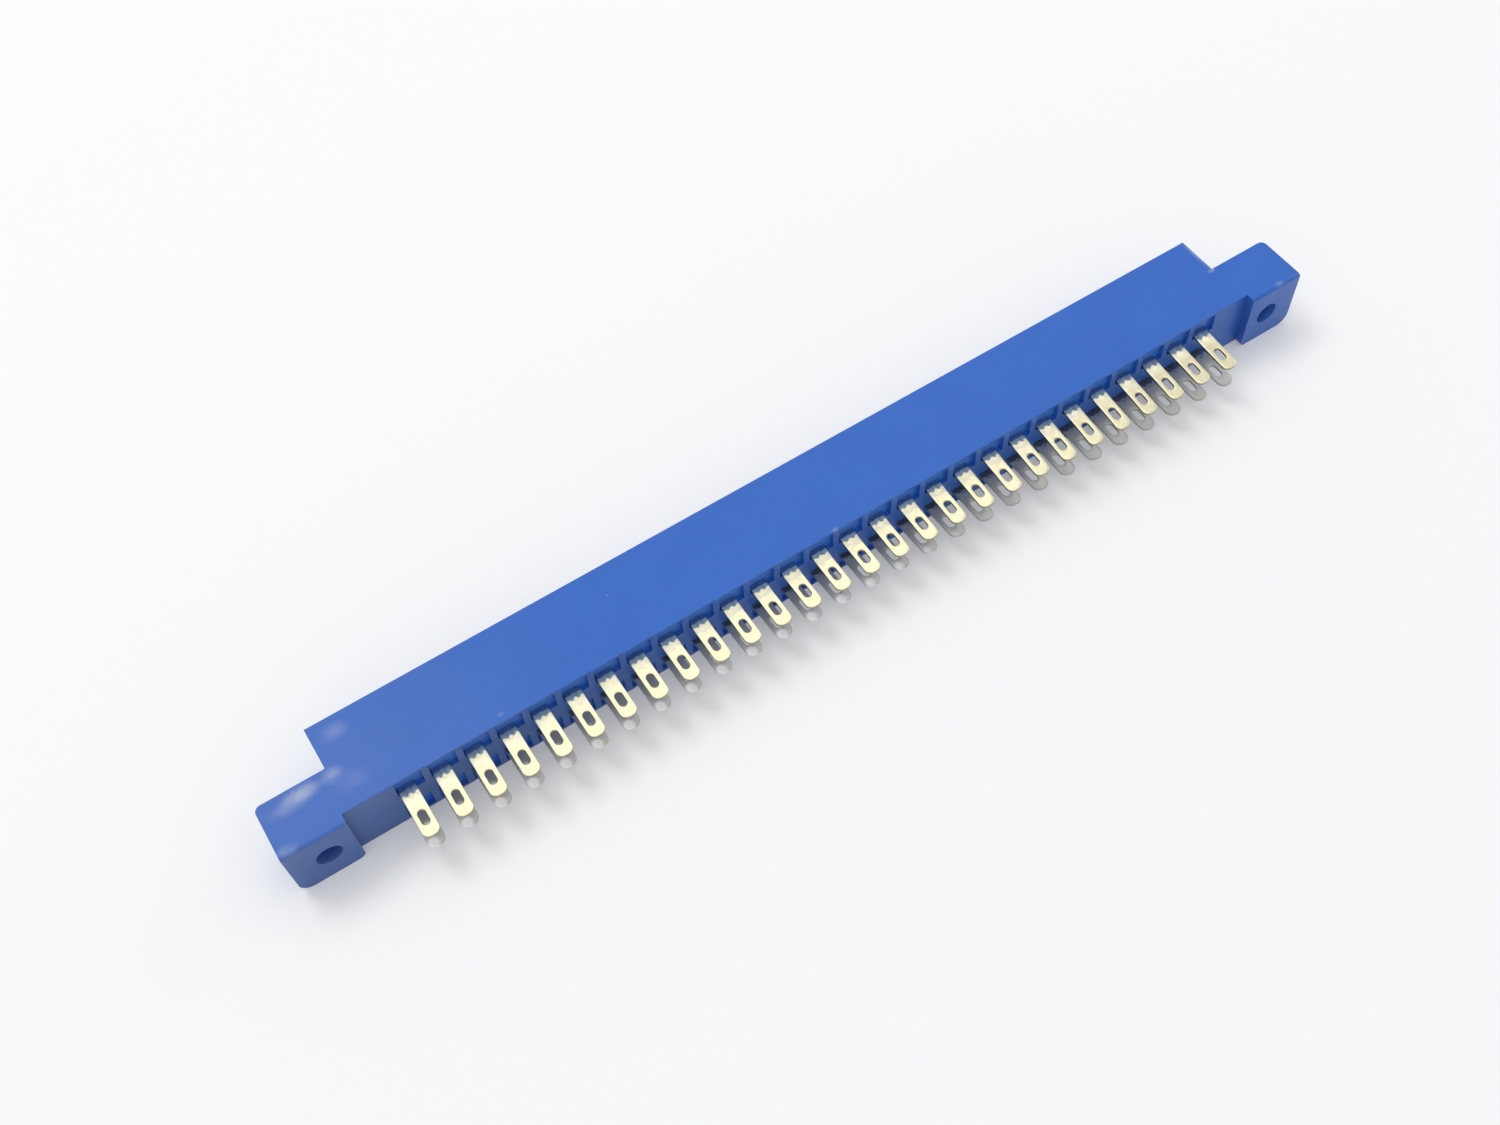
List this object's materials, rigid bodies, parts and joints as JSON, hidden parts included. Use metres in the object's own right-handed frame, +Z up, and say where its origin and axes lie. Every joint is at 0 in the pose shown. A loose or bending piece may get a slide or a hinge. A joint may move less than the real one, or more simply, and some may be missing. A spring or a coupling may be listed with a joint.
{
  "type": "card edge connector",
  "caption": "Long card edge connector: blue moulded housing with a card slot, two rows of sprung contacts ending in solder eyelets, and a drilled fixing ear at each end.",
  "frame": {"origin": "mid-length, on the broad face it rests on, in the plane of the ears' card-side faces", "axes": "+X along the rows of contacts; +Y towards the side the card enters; +Z up, from broad face to broad face"},
  "size_m": [0.1356, 0.0171, 0.0085],
  "materials": {
    "housing": "satin moulded",
    "contact": "pale gold plate"
  },
  "bodies": {
    "root": {"housing": "housing", "upper_contact_01": "contact", "upper_contact_02": "contact", "upper_contact_03": "contact", "upper_contact_04": "contact", "upper_contact_05": "contact", "upper_contact_06": "contact", "upper_contact_07": "contact", "upper_contact_08": "contact", "upper_contact_09": "contact", "upper_contact_10": "contact", "upper_contact_11": "contact", "upper_contact_12": "contact", "upper_contact_13": "contact", "upper_contact_14": "contact", "upper_contact_15": "contact", "upper_contact_16": "contact", "upper_contact_17": "contact", "upper_contact_18": "contact", "upper_contact_19": "contact", "upper_contact_20": "contact", "upper_contact_21": "contact", "upper_contact_22": "contact", "upper_contact_23": "contact", "upper_contact_24": "contact", "upper_contact_25": "contact", "upper_contact_26": "contact", "upper_contact_27": "contact", "upper_contact_28": "contact", "lower_contact_01": "contact", "lower_contact_02": "contact", "lower_contact_03": "contact", "lower_contact_04": "contact", "lower_contact_05": "contact", "lower_contact_06": "contact", "lower_contact_07": "contact", "lower_contact_08": "contact", "lower_contact_09": "contact", "lower_contact_10": "contact", "lower_contact_11": "contact", "lower_contact_12": "contact", "lower_contact_13": "contact", "lower_contact_14": "contact", "lower_contact_15": "contact", "lower_contact_16": "contact", "lower_contact_17": "contact", "lower_contact_18": "contact", "lower_contact_19": "contact", "lower_contact_20": "contact", "lower_contact_21": "contact", "lower_contact_22": "contact", "lower_contact_23": "contact", "lower_contact_24": "contact", "lower_contact_25": "contact", "lower_contact_26": "contact", "lower_contact_27": "contact", "lower_contact_28": "contact"}
  },
  "joints": []
}
